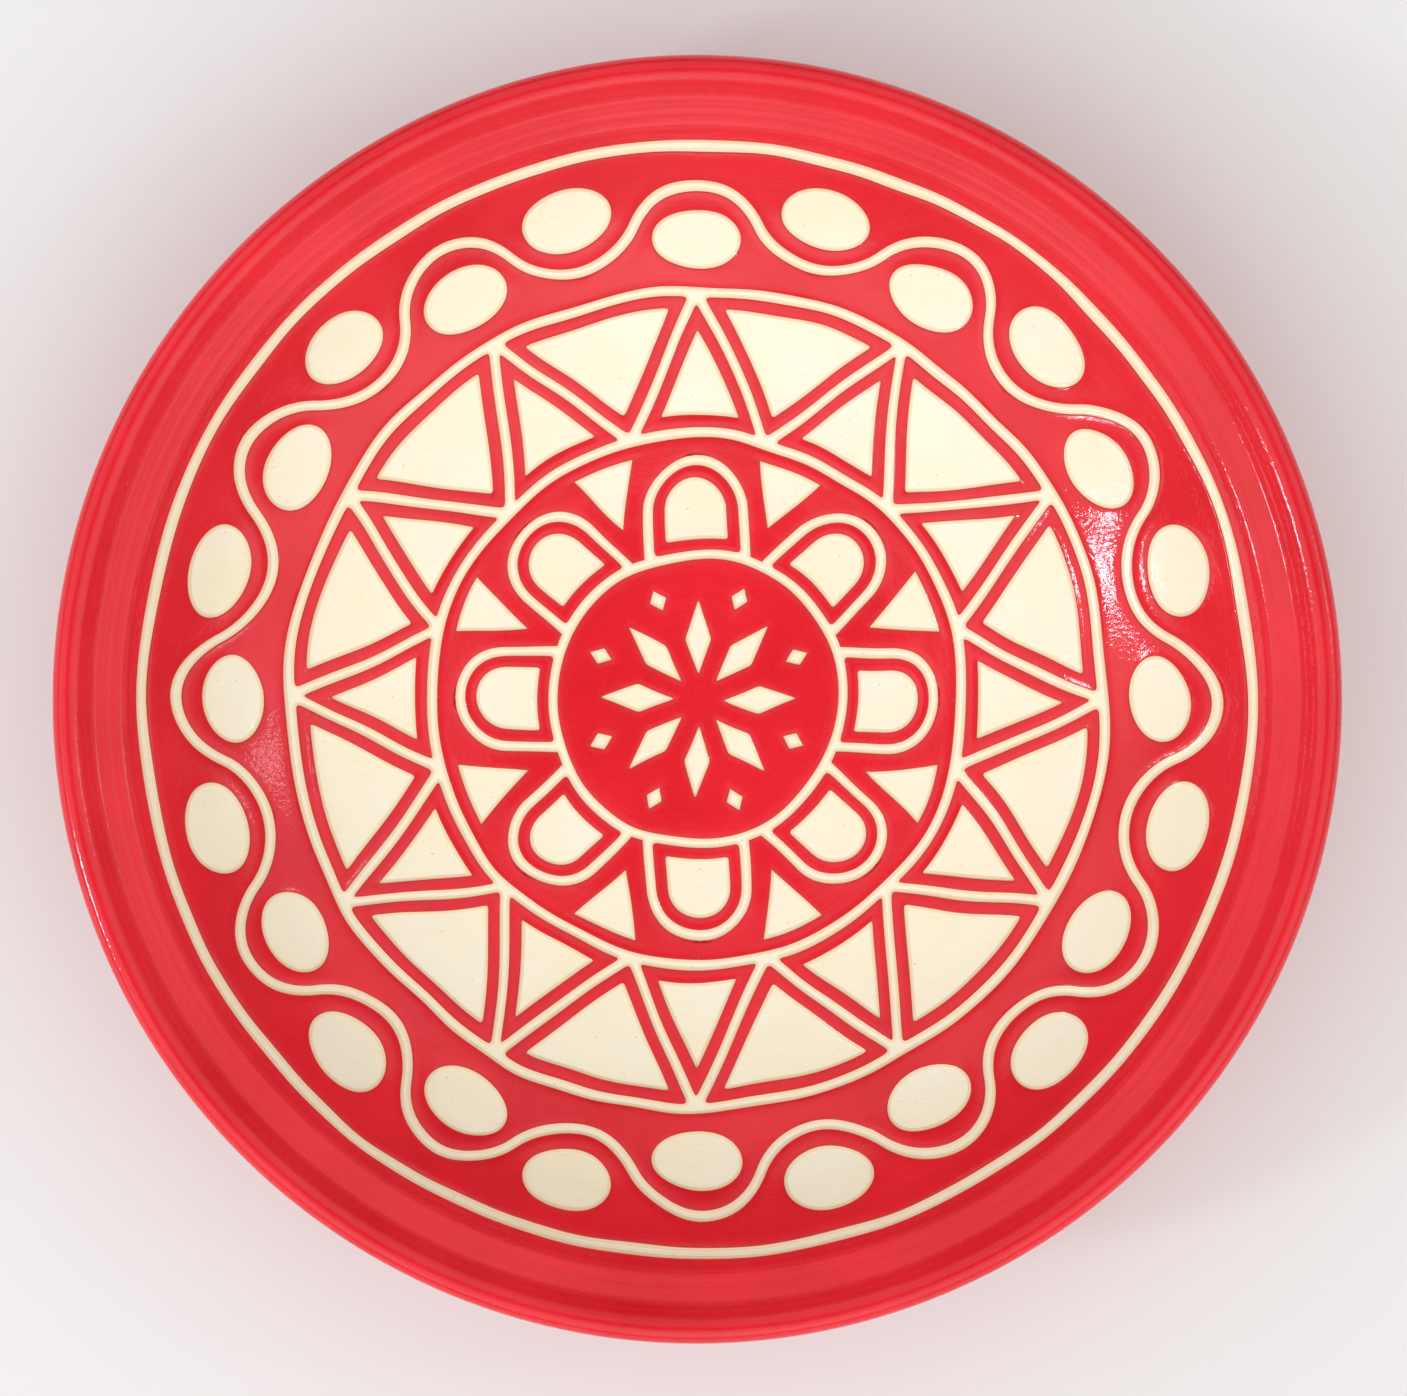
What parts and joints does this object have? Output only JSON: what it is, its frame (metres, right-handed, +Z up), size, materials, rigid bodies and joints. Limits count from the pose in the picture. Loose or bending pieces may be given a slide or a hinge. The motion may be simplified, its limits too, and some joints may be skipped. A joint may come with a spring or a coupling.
{
  "type": "bowl",
  "caption": "Wide shallow ceramic bowl on a foot ring, with a rolled lip and a coat of glossy red slip that is cut through to the pale clay in rings of ornament.",
  "frame": {"origin": "centre of the circle that the foot ring stands on", "axes": "+Z up along the bowl's axis, out of its open mouth; +X towards the middle of one arch and of one outward tooth"},
  "size_m": [0.28, 0.28, 0.0589],
  "materials": {
    "pale_clay": "clear glazed inside, bare and matt under the foot",
    "red_slip": "gloss"
  },
  "bodies": {
    "root": {"clay_body": "pale_clay", "slip_rim_and_outside": "red_slip", "slip_medallion": "red_slip", "slip_arch_panels": "red_slip", "slip_arch_field": "red_slip", "slip_teeth_outward": "red_slip", "slip_teeth_inward": "red_slip", "slip_wave_inner": "red_slip", "slip_wave_outer": "red_slip"}
  },
  "joints": []
}
